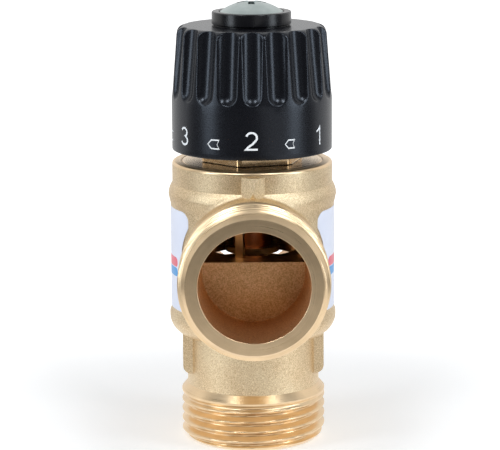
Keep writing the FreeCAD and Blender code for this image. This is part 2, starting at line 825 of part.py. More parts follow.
def knob_screw():
    rise = "(screw_dome_top - screw_rim_high)"
    dome = f"((screw_head_r ^ 2 + {rise} ^ 2) / 2 / {rise})"
    solid = turned("ScrewSolid", [
        (0, "screw_end"),
        ("screw_shank - 0.5", "screw_end"),
        ("screw_shank", "screw_end + 0.5"),
        ("screw_shank", "collar_floor"),
        ("screw_head_r", "collar_floor"),
        ("screw_head_r", "screw_rim_high", dome),
        (0, "screw_dome_top"),
    ])
    arms = []
    for index in range(2):
        along, across = ("Length", "Width") if index == 0 else ("Width", "Length")
        arm = make("Part::Box", f"RecessArm{index}", Height="recess_depth + 1",
                   z="screw_dome_top - recess_depth",
                   **{along: "2 * recess_reach", across: "recess_width"})
        bind(arm, x="-recess_reach" if index == 0 else "-recess_width / 2",
             y="-recess_width / 2" if index == 0 else "-recess_reach")
        arms.append(arm)
    point = make("Part::Cone", "RecessPoint", Radius1="0.3", Radius2="recess_reach * 0.55",
                 Height="recess_depth + 1", z="screw_dome_top - recess_depth - 0.6")
    return node("knob_screw", without("KnobScrew", solid, joined("Recess", *arms, point)))


# ------------------------------------------------------------------ labels
def side_label(label, turn):
    """A thin sticker on the barrel, with rounded corners and a notch round each side port."""
    half, low, high, corner = "barrel_r * sin(label_half)", "label_low", "label_high", "label_round"
    name = "".join(word.capitalize() for word in label.split("_"))
    window = padded(name + "Window", "YZ_Plane", [
        (f"-({half}) + {corner}", low),
        (f"{half} - {corner}", low, corner),
        (half, f"{low} + {corner}"),
        (half, f"{high} - {corner}", corner),
        (f"{half} - {corner}", high),
        (f"-({half}) + {corner}", high, corner),
        (f"-({half})", f"{high} - {corner}"),
        (f"-({half})", f"{low} + {corner}", corner),
    ], "2 * barrel_r")
    skin = tube(name + "Skin", "barrel_r + label_thick", "barrel_r", low + " - 1", high + " + 1")
    notch = make("Part::Cylinder", name + "Notch", Radius="label_notch", Height="4 * barrel_r",
                 y="-2 * barrel_r", z="port_height")
    notch.Placement.Rotation = Rotation(Vector(1, 0, 0), -90)
    sticker = without(name, shared(name + "Patch", window, skin), notch)
    sticker.Placement = Placement(Vector(0, 0, 0), Rotation(Vector(0, 0, 1), turn))
    return node(label, sticker)


# ------------------------------------------------------------------ the valve
valve_body()
bonnet()
guide_cage()
hot_seat()
seal("WebSeal", "web_seal", "shuttle_r + running / 2 + web_ring", "web_ring", "web_ring_z")
seal("BonnetSeal", "bonnet_seal", "bonnet_groove_r + running / 2 + bonnet_ring", "bonnet_ring",
     "bonnet_ring_z")
side_label("label_right", 0)
side_label("label_left", 180)

element_cup()
wax_charge()
element_guide()
overtravel_plunger()
coil("OvertravelSpring", "overtravel_spring", "over_r", "over_wire", "plunger_high",
     "spindle_bore_top", "over_turns")

spindle()
plunger_clip()
for height, end in (("seal_low_z", "lower"), ("seal_high_z", "upper")):
    seal("SpindleSeal" + end.capitalize(), "spindle_seal_" + end,
         "spindle_groove_r + seat_gap + spindle_ring", "spindle_ring", height)
knob()
clamp_collar()
knob_screw()

element_piston()
shuttle()
coil("ReturnSpring", "return_spring", "return_r", "return_wire", "hot_seat_high", "hub_low",
     "return_turns")

doc.recompute()

# ------------------------------------------------------------------ checks and files
failed = [item.Label for item in doc.Objects if {"Invalid", "Error"} & set(item.State)]
failed += [label for label, item in NODES.items()
           if item.Shape.isNull() or not item.Shape.isValid() or not item.Shape.Solids]
if failed:
    raise RuntimeError("these did not build: " + ", ".join(failed))

os.makedirs("parts", exist_ok=True)
for label, item in NODES.items():
    item.Shape.exportStep(f"parts/{label}.step")
    box = item.Shape.BoundBox
    print(f"{label:20s} {len(item.Shape.Solids)} solid, {item.Shape.Volume:9.1f} mm3,"
          f" z {box.ZMin:6.2f} to {box.ZMax:6.2f}")
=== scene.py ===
# %% [markdown]
# # A thermostatic mixing valve
# The valve has a cast brass body with three threaded ports, a hexagonal bonnet and a black fluted knob.
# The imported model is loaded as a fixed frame, and every piece below is placed from its sizes.

# %% Load the frame
import math

import bmesh
import bpy
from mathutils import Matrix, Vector


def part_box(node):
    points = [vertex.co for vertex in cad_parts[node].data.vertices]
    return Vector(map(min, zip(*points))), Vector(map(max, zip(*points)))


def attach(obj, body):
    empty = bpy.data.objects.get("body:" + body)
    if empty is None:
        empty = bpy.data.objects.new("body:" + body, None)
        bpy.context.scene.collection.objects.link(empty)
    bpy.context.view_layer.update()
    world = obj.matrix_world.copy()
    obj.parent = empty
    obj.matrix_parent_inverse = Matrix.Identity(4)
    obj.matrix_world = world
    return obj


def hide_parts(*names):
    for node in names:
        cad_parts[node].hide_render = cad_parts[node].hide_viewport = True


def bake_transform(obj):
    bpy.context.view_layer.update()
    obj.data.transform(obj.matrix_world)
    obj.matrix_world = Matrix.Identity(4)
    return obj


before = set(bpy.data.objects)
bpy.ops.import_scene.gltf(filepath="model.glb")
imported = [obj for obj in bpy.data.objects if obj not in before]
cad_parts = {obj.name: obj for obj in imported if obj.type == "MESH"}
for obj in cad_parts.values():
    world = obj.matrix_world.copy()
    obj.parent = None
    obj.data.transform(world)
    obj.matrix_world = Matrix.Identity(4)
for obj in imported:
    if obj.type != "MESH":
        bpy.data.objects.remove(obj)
MM = 0.001
scene = bpy.context.scene
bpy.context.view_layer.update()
valve_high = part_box("valve_body")[1]
knob_low, knob_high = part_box("knob")
port_height = 44.1 * MM
port_reach = valve_high.y

# %% [markdown]
# ## Camera
# A long lens stands half a metre in front of the valve and a little above it, tipped down by about eleven degrees.
# From there the front port is nearly a full ring, and its bore shows the wall behind.

# %% Camera
camera = bpy.data.objects.new("Camera", bpy.data.cameras.new("Camera"))
camera.data.sensor_width = 36.0
camera.data.lens = 169.8
camera.data.clip_start = 0.05
camera.location = (-0.0045, -0.53367, 0.15592)
camera.rotation_euler = (math.radians(90) - 0.1967, math.radians(0.3), -0.0084)
scene.collection.objects.link(camera)
scene.camera = camera
print("camera is", round(camera.location.length, 3), "m from the origin")

# %% [markdown]
# ## Light
# Two tall narrow soft boxes stand at the sides and draw the upright streaks in the knob's flutes.
# Two small key lights hang in front and above, left and right, for the bright spots where the flutes end.
# The world gives a plain fill and is white to whatever looks straight at it. In mirrors it is bright behind
# the valve, dim at the sides and nearly dark on the camera's side, as a studio is.


# %% Soft boxes
def soft_box(name, place, target, width, height, power, colour=(1, 1, 1)):
    lamp = bpy.data.lights.new(name, "AREA")
    lamp.shape = "RECTANGLE"
    lamp.size = width
    lamp.size_y = height
    lamp.energy = power
    lamp.color = colour
    holder = bpy.data.objects.new(name, lamp)
    holder.location = place
    holder.rotation_euler = (Vector(target) - Vector(place)).to_track_quat("-Z", "Y").to_euler()
    scene.collection.objects.link(holder)


middle = (0, 0, 0.06)
soft_box("left_box", (-0.42, -0.22, 0.16), middle, 0.15, 0.5, 1.05, (0.84, 0.92, 1.0))
soft_box("right_box", (0.42, -0.22, 0.16), middle, 0.15, 0.5, 1.05, (0.84, 0.92, 1.0))
soft_box("left_key", (-0.20, -0.30, 0.46), middle, 0.14, 0.14, 0.85, (0.92, 0.96, 1.0))
soft_box("right_key", (0.20, -0.30, 0.46), middle, 0.14, 0.14, 0.85, (0.92, 0.96, 1.0))
scene.view_settings.view_transform = "Standard"

# %% [markdown]
# ## Node helpers
# Both shaders and geometry trees do arithmetic with the same Math node.
# This small class wraps a socket, so a formula can be typed as it is written on paper.


# %% Arithmetic in node trees
class Wire:
    """A number in a node tree: + - * / and the named functions below add Math nodes."""

    def __init__(self, tree, socket):
        self.tree = tree
        self.socket = socket

    def math(self, operation, *others, clamp=False):
        node = self.tree.nodes.new("ShaderNodeMath")
        node.operation = operation
        node.use_clamp = clamp
        for slot, item in zip(node.inputs, (self, *others)):
            if isinstance(item, Wire):
                self.tree.links.new(item.socket, slot)
            else:
                slot.default_value = item
        return Wire(self.tree, node.outputs[0])

    def __add__(self, other):
        return self.math("ADD", other)

    def __sub__(self, other):
        return self.math("SUBTRACT", other)

    def __mul__(self, other):
        return self.math("MULTIPLY", other)

    def __truediv__(self, other):
        return self.math("DIVIDE", other)

    def least(self, other):
        return self.math("MINIMUM", other)

    def most(self, other):
        return self.math("MAXIMUM", other)

    def clamped(self):
        return self.math("ADD", 0.0, clamp=True)

    def size(self):
        return self.math("ABSOLUTE")

    def smooth(self):
        """0 to 1 with soft ends."""
        x = self.clamped()
        return x * x * (x * -2.0 + 3.0)


def add_input(tree, name, kind, value=None):
    socket = tree.interface.new_socket(name, in_out="INPUT", socket_type=kind)
    if value is not None:
        socket.default_value = value
    return socket


def add_output(tree, name, kind):
    return tree.interface.new_socket(name, in_out="OUTPUT", socket_type=kind)


print("helpers ready")

# %% [markdown]
# ## Shared surface effects
# Cast, blasted and machined brass share three effects, so each is a node group that is built once:
# a fine grain with pits, the fine rings that a lathe leaves, and a slow tint variation.
# The groups give only heights, masks and factors. The shader itself stays in each material.


# %% Effect groups
def new_effect(name, inputs, outputs):
    tree = bpy.data.node_groups.new(name, "ShaderNodeTree")
    for label, kind, value in inputs:
        add_input(tree, label, kind, value)
    for label in outputs:
        add_output(tree, label, "NodeSocketFloat")
    return tree, tree.nodes.new("NodeGroupInput"), tree.nodes.new("NodeGroupOutput")


def noise(tree, vector, scale, detail=2.0, rough=0.5):
    node = tree.nodes.new("ShaderNodeTexNoise")
    node.inputs["Detail"].default_value = detail
    node.inputs["Roughness"].default_value = rough
    tree.links.new(vector, node.inputs["Vector"])
    if isinstance(scale, Wire):
        tree.links.new(scale.socket, node.inputs["Scale"])
    else:
        node.inputs["Scale"].default_value = scale
    return Wire(tree, node.outputs["Fac"])


def grain_effect():
    tree, start, end = new_effect("BlastedGrain", [
        ("Place", "NodeSocketVector", None), ("Grain Size", "NodeSocketFloat", 0.0004),
        ("Pits", "NodeSocketFloat", 0.5)], ["Height", "Sparkle"])
    scale = Wire(tree, start.outputs["Grain Size"]).math("POWER", -1.0)
    fine = noise(tree, start.outputs["Place"], scale, 3.0, 0.6)
    coarse = noise(tree, start.outputs["Place"], scale * 0.3, 2.0, 0.5)
    pits = (coarse * -1.0 + 0.42).most(0.0) * 4.0 * Wire(tree, start.outputs["Pits"])
    tree.links.new((fine - pits).socket, end.inputs["Height"])
    tree.links.new(((fine - 0.35) * 2.6).clamped().socket, end.inputs["Sparkle"])
    return tree


def turning_effect():
    tree, start, end = new_effect("LatheRings", [
        ("Place", "NodeSocketVector", None), ("Feed", "NodeSocketFloat", 0.00012)], ["Height", "Rings"])
    parts = tree.nodes.new("ShaderNodeSeparateXYZ")
    tree.links.new(start.outputs["Place"], parts.inputs[0])
    x, y, z = (Wire(tree, socket) for socket in parts.outputs)
    radius = (x * x + y * y).math("POWER", 0.5)
    joined = tree.nodes.new("ShaderNodeCombineXYZ")
    tree.links.new(radius.socket, joined.inputs["X"])
    tree.links.new(z.socket, joined.inputs["Y"])
    tree.links.new((x * 0.02).socket, joined.inputs["Z"])
    scale = Wire(tree, start.outputs["Feed"]).math("POWER", -1.0)
    rings = noise(tree, joined.outputs[0], scale * 0.5, 3.0, 0.65)
    tree.links.new(rings.socket, end.inputs["Height"])
    tree.links.new(((rings - 0.3) * 2.5).clamped().socket, end.inputs["Rings"])
    return tree


def tint_effect():
    tree, start, end = new_effect("SlowTint", [
        ("Place", "NodeSocketVector", None), ("Patch Size", "NodeSocketFloat", 0.01)], ["Tint"])
    scale = Wire(tree, start.outputs["Patch Size"]).math("POWER", -1.0)
    cloud = noise(tree, start.outputs["Place"], scale, 4.0, 0.6)
    tree.links.new(((cloud - 0.3) * 2.5).clamped().socket, end.inputs["Tint"])
    return tree


grain_group, turning_group, tint_group = grain_effect(), turning_effect(), tint_effect()
print("effects:", [g.name for g in bpy.data.node_groups])

# %% [markdown]
# ## A material's common frame
# Each finish starts from a Principled shader and reads Object coordinates,
# so it stays with the piece when the piece moves.
# A Mapping node turns them so that the lathe's rings run round the right axis.


# %% Material helpers
class Finish:
    """One material under construction."""

    def __init__(self, name, colour, metallic=0.0, roughness=0.5, **values):
        self.material = bpy.data.materials.new(name)
        self.material.use_nodes = True
        self.tree = self.material.node_tree
        self.shader = self.tree.nodes["Principled BSDF"]
        self.place = self.tree.nodes.new("ShaderNodeTexCoord").outputs["Object"]
        self.set("Base Color", (*colour, 1))
        self.set("Metallic", metallic)
        self.set("Roughness", roughness)
        for label, value in values.items():
            self.set(label.replace("_", " "), value)

    def set(self, label, value):
        self.shader.inputs[label].default_value = value

    def wire(self, socket):
        return Wire(self.tree, socket)

    def turned_place(self, shift, turn):
        node = self.tree.nodes.new("ShaderNodeMapping")
        node.vector_type = "TEXTURE"
        node.inputs["Location"].default_value = shift
        node.inputs["Rotation"].default_value = turn
        self.tree.links.new(self.place, node.inputs["Vector"])
        return node.outputs[0]

    def effect(self, group, place=None, **values):
        node = self.tree.nodes.new("ShaderNodeGroup")
        node.node_tree = group
        self.tree.links.new(place or self.place, node.inputs["Place"])
        for label, value in values.items():
            node.inputs[label.replace("_", " ")].default_value = value
        return node.outputs

    def bump(self, height, depth):
        node = self.tree.nodes.new("ShaderNodeBump")
        node.inputs["Strength"].default_value = 1.0
        node.inputs["Distance"].default_value = depth
        self.tree.links.new(height, node.inputs["Height"])
        self.tree.links.new(node.outputs[0], self.shader.inputs["Normal"])

    def mix(self, factor, first, second):
        node = self.tree.nodes.new("ShaderNodeMix")
        node.data_type = "RGBA"
        self.tree.links.new(factor.socket if isinstance(factor, Wire) else factor, node.inputs["Factor"])
        for slot, item in ((node.inputs["A"], first), (node.inputs["B"], second)):
            if isinstance(item, tuple):
                slot.default_value = (*item, 1)
            else:
                self.tree.links.new(item, slot)
        return node.outputs["Result"]

    def colour_from(self, socket):
        self.tree.links.new(socket, self.shader.inputs["Base Color"])

    def rough_from(self, wire):
        self.tree.links.new(wire.socket, self.shader.inputs["Roughness"])


print("material helpers ready")

# %% [markdown]
# ## Brass
# The casting is shot-blasted: matt, grainy and a little paler on the high grain.
# Inside the ports and the chamber the same casting gets a darker, deeper orange copy of its colour: painted shade,
# and a painted reflection of the brass mirroring itself.
# The faces that a lathe has cut are smoother, with fine rings round their own axis.

# %% Brass finishes
BRASS_PALE = (0.80, 0.62, 0.39)


def cast_brass(name, low, high, grain_size, roughness):
    """Blasted casting: low and high are pairs of tones, for the hollows and the tips of the grain."""
    made = Finish(name, BRASS_PALE, 1.0, roughness)
    grain = made.effect(grain_group, Grain_Size=grain_size, Pits=0.5)
    tint = made.effect(tint_group, Patch_Size=0.012)
    made.colour_from(made.mix(grain["Sparkle"], made.mix(tint["Tint"], *low), made.mix(tint["Tint"], *high)))
    made.rough_from(made.wire(grain["Sparkle"]) * -0.12 + roughness)
    made.bump(grain["Height"], 0.00007)
    return made.material


def machined_brass(name, shift, turn, roughness=0.26, feed=0.00014, depth=0.000004):
    made = Finish(name, BRASS_PALE, 1.0, roughness)
    place = made.turned_place(shift, turn)
    rings = made.effect(turning_group, place, Feed=feed)
    tint = made.effect(tint_group, Patch_Size=0.006)
    toned = made.mix(tint["Tint"], (0.68, 0.49, 0.28), (0.88, 0.65, 0.39))
    made.colour_from(made.mix(made.wire(rings["Rings"]) * 0.4, toned, (0.95, 0.75, 0.52)))
    made.rough_from(made.wire(rings["Rings"]) * 0.12 + roughness)
    made.bump(rings["Height"], depth)
    return made.material


side_axis = ((0, 0, port_height), (math.radians(90), 0, 0))
upright = ((0, 0, 0), (0, 0, 0))
brass_cast = cast_brass("blasted_brass", ((0.50, 0.35, 0.19), (0.60, 0.44, 0.26)),
                        ((1.0, 0.79, 0.52), (1.0, 0.88, 0.62)), 0.00022, 0.46)
# The inner copy is painted shade: darker, oranger tones that stand in for the shadow and the brass-on-brass
# reflections inside.
brass_inside_painted_shade = cast_brass("inner_brass_painted_shade", ((0.54, 0.30, 0.13), (0.66, 0.38, 0.19)),
                          ((0.92, 0.60, 0.32), (1.0, 0.68, 0.40)), 0.0003, 0.50)
brass_side = machined_brass("machined_brass_side", *side_axis)
brass_upright = machined_brass("machined_brass_upright", *upright)
brass_hex = machined_brass("polished_brass_hexagon", *upright, roughness=0.18)
print("brass finishes:", [m.name for m in bpy.data.materials if "brass" in m.name])

# %% [markdown]
# ## Pipe threads
# A G 1 thread is a rounded V that winds once round the port for every 2.309 mm.
# It follows one rule, so Geometry Nodes makes it: a flat grid is rolled into a sleeve, and each point's radius
# is the smaller of the blank's radius and the thread's own.
# The groove fades out over the last turn, and a cone leads down to the neck.

# %% Thread sizes
PITCH, THREAD_DEPTH = 2.309 * MM, 1.479 * MM
RUNOUT, FACE_R, NECK_R, MAJOR_R = 1.6 * MM, 14.95 * MM, 15.25 * MM, 16.62 * MM
SAME_POINT = 2e-6
print("pitch over thread width:", round(PITCH / (2 * MAJOR_R), 4))


# %% Rolling a grid
def flat_grid(tree, start):
    """A grid of Columns by Rows, each point's share of the turn (0 to 1) and its level (-0.5 to 0.5)."""
    grid = tree.nodes.new("GeometryNodeMeshGrid")
    tree.links.new(start.outputs["Columns"], grid.inputs["Vertices X"])
    tree.links.new(start.outputs["Rows"], grid.inputs["Vertices Y"])
    spot = tree.nodes.new("ShaderNodeSeparateXYZ")
    tree.links.new(tree.nodes.new("GeometryNodeInputPosition").outputs[0], spot.inputs[0])
    return grid, Wire(tree, spot.outputs["X"]) + 0.5, Wire(tree, spot.outputs["Y"])


def roll_up(tree, start, end, grid, turn, radius, height, *placing):
    """Rolls the grid round the axis, welds its seam, makes it real and paints it."""
    angle = turn * (2 * math.pi)
    rolled = tree.nodes.new("ShaderNodeCombineXYZ")
    for slot, wire in zip(rolled.inputs, (radius * angle.math("COSINE"), radius * angle.math("SINE"), height)):
        tree.links.new(wire.socket, slot)
    shape, weld = tree.nodes.new("GeometryNodeSetPosition"), tree.nodes.new("GeometryNodeMergeByDistance")
    weld.inputs["Distance"].default_value = SAME_POINT
    whole, paint = tree.nodes.new("GeometryNodeRealizeInstances"), tree.nodes.new("GeometryNodeSetMaterial")
    tree.links.new(grid.outputs["Mesh"], shape.inputs["Geometry"])
    tree.links.new(rolled.outputs[0], shape.inputs["Position"])
    tree.links.new(start.outputs["Finish"], paint.inputs["Material"])
    chain = (shape, weld, *placing, whole, paint)
    for first, second in zip(chain, chain[1:]):
        tree.links.new(first.outputs[0], second.inputs["Geometry"])
    tree.links.new(paint.outputs[0], end.inputs[0])


print("rolling helpers ready")


# %% Thread tree
def thread_tree():
    tree = bpy.data.node_groups.new("PipeThread", "GeometryNodeTree")
    add_output(tree, "Geometry", "NodeSocketGeometry")
    add_input(tree, "Columns", "NodeSocketInt", 160)
    add_input(tree, "Rows", "NodeSocketInt", 96)
    for name in ("Pitch", "Depth", "Major Radius", "Face Radius", "Neck Radius", "Chamfer", "Threaded Length",
                 "Runout", "Start Turn"):
        add_input(tree, name, "NodeSocketFloat", 0.0)
    add_input(tree, "Place", "NodeSocketVector")
    add_input(tree, "Turn", "NodeSocketVector")
    add_input(tree, "Finish", "NodeSocketMaterial")
    start, end = tree.nodes.new("NodeGroupInput"), tree.nodes.new("NodeGroupOutput")

    def size(name):
        return Wire(tree, start.outputs[name])

    grid, turn, level = flat_grid(tree, start)
    along = (level * 0.99 + 0.5) * (size("Threaded Length") + size("Runout"))
    phase = (along / size("Pitch") - turn + size("Start Turn")).math("FRACT")
    ramp = (((phase * 2.0 - 1.0).size() * -1.0 + 1.0) - 0.08) / 0.84
    groove = ramp.clamped() * 0.5 + ramp.smooth() * 0.5
    fade = ((size("Threaded Length") - along) / size("Pitch")).smooth()
    blank = (size("Face Radius") + (size("Major Radius") - size("Face Radius")) * (along / size("Chamfer")))
    past = ((along - size("Threaded Length")) / size("Runout")).most(0.0)
    blank = blank.least(size("Major Radius") - (size("Major Radius") - size("Neck Radius")) * past)
    radius = blank.least(size("Major Radius") - size("Depth") * groove * fade)
    place = tree.nodes.new("GeometryNodeTransform")
    tree.links.new(start.outputs["Place"], place.inputs["Translation"])
    tree.links.new(start.outputs["Turn"], place.inputs["Rotation"])
    roll_up(tree, start, end, grid, turn, radius, along, place)
    return tree


def grown(name, tree, values):
    """The mesh that a geometry tree gives for these inputs."""
    holder = bpy.data.objects.new(name, bpy.data.meshes.new(name))
    scene.collection.objects.link(holder)
    modifier = holder.modifiers.new("tree", "NODES")
    modifier.node_group = tree
    for item in tree.interface.items_tree:
        if item.item_type == "SOCKET" and item.name in values:
            modifier[item.identifier] = values[item.name]
    made = holder.evaluated_get(bpy.context.evaluated_depsgraph_get())
    mesh = bpy.data.meshes.new_from_object(made)
    bpy.data.objects.remove(holder)
    return mesh


print("geometry helper ready")

# %% [markdown]
# ## From CAD solid to dressed piece
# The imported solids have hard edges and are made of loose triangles.
# A dressed piece is a merged copy whose real edges get a small bevel, so that they catch the light as metal does.


# %% Dressing helpers
def merged_copy(label):
    bm = bmesh.new()
    bm.from_mesh(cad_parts[label].data)
    bmesh.ops.remove_doubles(bm, verts=bm.verts, dist=1e-6)
    return bm


def finished(name, bm, materials, bevel=0.0, angle=32, where=None):
    """Makes an object of bm: marked edges get the bevel, and the surfaces between sharp edges are smooth."""
    weights = bm.edges.layers.float.get("bevel_weight_edge") or bm.edges.layers.float.new("bevel_weight_edge")
    if bevel:
        for edge in bm.edges:
            if (not edge.tag and len(edge.link_faces) == 2 and edge.calc_face_angle(0) > math.radians(angle)
                    and (where is None or where(edge))):
                edge[weights] = 1.0
    mesh = bpy.data.meshes.new(name)
    bm.to_mesh(mesh)
    bm.free()
    for material in materials:
        mesh.materials.append(material)
    if "custom_normal" in mesh.attributes:
        mesh.attributes.remove(mesh.attributes["custom_normal"])
    mesh.shade_smooth()
    mesh.set_sharp_from_angle(angle=math.radians(angle))
    piece = bpy.data.objects.new(name, mesh)
    scene.collection.objects.link(piece)
    if bevel:
        edge_round = piece.modifiers.new("edge_round", "BEVEL")
        edge_round.limit_method = "WEIGHT"
        edge_round.width = bevel
        edge_round.segments = 2
    even_light = piece.modifiers.new("even_light", "WEIGHTED_NORMAL")
    even_light.keep_sharp = True
    bpy.context.view_layer.update()
    made = piece.evaluated_get(bpy.context.evaluated_depsgraph_get())
    piece.data = bpy.data.meshes.new_from_object(made)
    piece.modifiers.clear()
    piece.data.name = name
    return piece


def dressed(name, label, body, materials, bevel):
    """The usual way for a turned, pressed or moulded piece: CAD shape, soft edges, its own finish."""
    bm = merged_copy(label)
    bmesh.ops.dissolve_limit(bm, angle_limit=math.radians(0.4), verts=bm.verts, edges=bm.edges)
    bmesh.ops.triangulate(bm, faces=[f for f in bm.faces if len(f.verts) > 40])
    piece = finished(name, bm, materials, bevel)
    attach(piece, body)
    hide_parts(label)


print("dressing helpers ready")

# %% [markdown]
# ## Valve body
# The casting keeps its CAD shape. Its three plain thread cylinders are cut away and a wound sleeve takes the place
# of each, zipped to the rings of points that the cut leaves, so the skin stays closed.
# Each face then gets its finish from where it lies: cast, turned, bored or threaded. The bores and the inner
# chamber get the darker inner copy, which is painted shade.

# %% Ports
PORTS = {
    "bottom": {"origin": Vector((0, 0, 0)), "axis": Vector((0, 0, 1)), "turn": (0, 0, 0),
               "threaded": 11.3 * MM, "chamfer": 1.6 * MM, "start": 0.73},
    "front": {"origin": Vector((0, -port_reach, port_height)), "axis": Vector((0, 1, 0)),
              "turn": (-math.pi / 2, 0, 0), "threaded": 11.5 * MM, "chamfer": 2.1 * MM, "start": 0.321},
    "rear": {"origin": Vector((0, port_reach, port_height)), "axis": Vector((0, -1, 0)),
             "turn": (math.pi / 2, 0, 0), "threaded": 11.5 * MM, "chamfer": 2.1 * MM, "start": 0.321},
}


def along_and_out(port, point):
    offset = point - port["origin"]
    along = offset.dot(port["axis"])
    return along, (offset - port["axis"] * along).length


def ring_of(bm, port, along, radius, slack):
    """Open-edge points at this distance along a port, in order round its axis."""
    side = port["axis"].orthogonal().normalized()
    other = port["axis"].cross(side)
    found = {}
    for edge in (e for e in bm.edges if e.is_boundary):
        for vert in edge.verts:
            where, out = along_and_out(port, vert.co)
            if abs(where - along) < slack and abs(out - radius) < 0.6 * MM:
                offset = vert.co - port["origin"]
                found[vert] = math.atan2(offset.dot(other), offset.dot(side))
    return sorted(found, key=found.get), sorted(found.values())


def zip_rings(bm, first, second, outward, index):
    """Joins two rings of points with triangles, whatever their counts."""
    (a, angles_a), (b, angles_b) = first, second
    i = j = 0
    while i < len(a) or j < len(b):
        next_a = angles_a[i + 1] if i + 1 < len(a) else (angles_a[0] + 2 * math.pi if i < len(a) else 99.0)
        next_b = angles_b[j + 1] if j + 1 < len(b) else (angles_b[0] + 2 * math.pi if j < len(b) else 99.0)
        if next_a <= next_b:
            corners = (a[i % len(a)], a[(i + 1) % len(a)], b[j % len(b)])
            i += 1
        else:
            corners = (a[i % len(a)], b[(j + 1) % len(b)], b[j % len(b)])
            j += 1
        face = bm.faces.new(corners)
        face.material_index = index
        face.normal_update()
        if face.normal.dot(outward(face.calc_center_median())) < 0:
            face.normal_flip()


print("port origins in mm:", [[round(v / MM, 1) for v in port["origin"]] for port in PORTS.values()])


# %% Body skin
CAST, TURNED_SIDE, TURNED_UP, INSIDE = range(4)
FLUSH = 0.02 * MM
BORE_R, BORE_LONG = 12.6 * MM, 30 * MM
THREAD_R, THREAD_LONG = 17 * MM, 13.2 * MM
WEIR_FROM_AXIS = 24.4 * MM
RIM_TOP, RIM_R = 64.2 * MM, 17 * MM


def body_finish(centre):
    for port in PORTS.values():
        along, out = along_and_out(port, centre)
        sideways = abs(port["axis"].y) > 0.5
        if along < FLUSH or (along < THREAD_LONG and BORE_R < out < THREAD_R):
            return TURNED_SIDE if sideways else TURNED_UP
        # Bores take the inner brass, the copy with painted shade.
        if along < BORE_LONG and out < BORE_R:
            return INSIDE
    radius = math.hypot(centre.x, centre.y)
    if centre.z > RIM_TOP or (centre.z > 55 * MM and radius < RIM_R):
        return TURNED_UP
    # The barrel's inner faces also take the inner brass with painted shade.
    if radius < 14.5 * MM or (radius < 17.4 * MM and centre.z > 30 * MM):
        return INSIDE
    return CAST


def soft_edge(edge):
    """The edges that a tool or a thumb has broken: the ports' mouths, the weir's and the rim's."""
    a, b = (v.co for v in edge.verts)
    for port in PORTS.values():
        (along_a, out_a), (along_b, out_b) = along_and_out(port, a), along_and_out(port, b)
        if max(along_a, along_b) < FLUSH and max(out_a, out_b) < BORE_R:
            return True
    weir = abs(a.y + WEIR_FROM_AXIS) < FLUSH and abs(b.y + WEIR_FROM_AXIS) < FLUSH
    rim = min(a.z, b.z) > 64.98 * MM and min(a.xy.length, b.xy.length) > 16 * MM
    return weir or rim


def valve_body():
    bm = merged_copy("valve_body")
    gone = []
    for face in bm.faces:
        for port in PORTS.values():
            where = [along_and_out(port, v.co) for v in face.verts]
            if all(-1e-6 < s < port["threaded"] + RUNOUT + 1e-6 and r > FACE_R - 1e-5 for s, r in where) and (
                    max(s for s, r in where) > 0.02 * MM):
                gone.append(face)
                break
    bmesh.ops.delete(bm, geom=gone, context="FACES")
    for face in bm.faces:
        face.material_index = body_finish(face.calc_center_median())
    tree = thread_tree()
    for name, port in PORTS.items():
        sleeve = grown(f"thread_{name}", tree, {
            "Columns": 161, "Rows": 110, "Pitch": PITCH, "Depth": THREAD_DEPTH, "Major Radius": MAJOR_R,
            "Face Radius": FACE_R, "Neck Radius": NECK_R, "Chamfer": port["chamfer"],
            "Threaded Length": port["threaded"], "Runout": RUNOUT, "Start Turn": port["start"],
            "Place": tuple(port["origin"]), "Turn": port["turn"]})
        before = len(bm.faces)
        bm.from_mesh(sleeve)
        bm.faces.ensure_lookup_table()
        index = TURNED_UP if name == "bottom" else TURNED_SIDE
        for face in bm.faces[before:]:
            face.material_index = index
            for edge in face.edges:
                edge.tag = True
        length = port["threaded"] + RUNOUT
        axis, origin = port["axis"], port["origin"]
        for at, inset, radius in ((0.0, 0.005 * length, FACE_R), (length, 0.995 * length, NECK_R)):
            cut = ring_of(bm, port, at, radius, SAME_POINT)
            wound = ring_of(bm, port, inset, radius, SAME_POINT)
            zip_rings(bm, cut, wound, lambda p: (p - origin) - axis * (p - origin).dot(axis), index)
    print("open edges left:", sum(e.is_boundary for e in bm.edges), "triangles:",
          sum(len(f.verts) - 2 for f in bm.faces))
    # The last finish is the inner brass, which carries painted shade.
    piece = finished("valve_body_skin", bm, [brass_cast, brass_side, brass_upright, brass_inside_painted_shade],
                     0.14 * MM, where=soft_edge)
    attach(piece, "housing")
    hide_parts("valve_body")


valve_body()

# %% [markdown]
# ## The other metals
# The hexagonal bonnet is turned and milled brass, the cage and the seat are turned brass,
# the wax element's cup is copper, and the springs, clip and piston are steel.
# The cap screw on the knob is zinc-plated, and the ring round it is glossy black like the knob.


# %% Other finishes
def plain_metal(name, low, high, roughness, grain_size, depth):
    made = Finish(name, low, 1.0, roughness)
    grain = made.effect(grain_group, Grain_Size=grain_size, Pits=0.1)
    tint = made.effect(tint_group, Patch_Size=0.005)
    made.colour_from(made.mix(tint["Tint"], low, high))
    made.rough_from(made.wire(grain["Sparkle"]) * 0.1 + roughness)
    made.bump(grain["Height"], depth)
    return made.material


def moulded(name, low, high, roughness, grain_size, depth, **values):
    made = Finish(name, low, 0.0, roughness, **values)
    grain = made.effect(grain_group, Grain_Size=grain_size, Pits=0.2)
    tint = made.effect(tint_group, Patch_Size=0.008)
    made.colour_from(made.mix(tint["Tint"], low, high))
    made.rough_from(made.wire(grain["Sparkle"]) * 0.08 + roughness)
    made.bump(grain["Height"], depth)
    return made.material


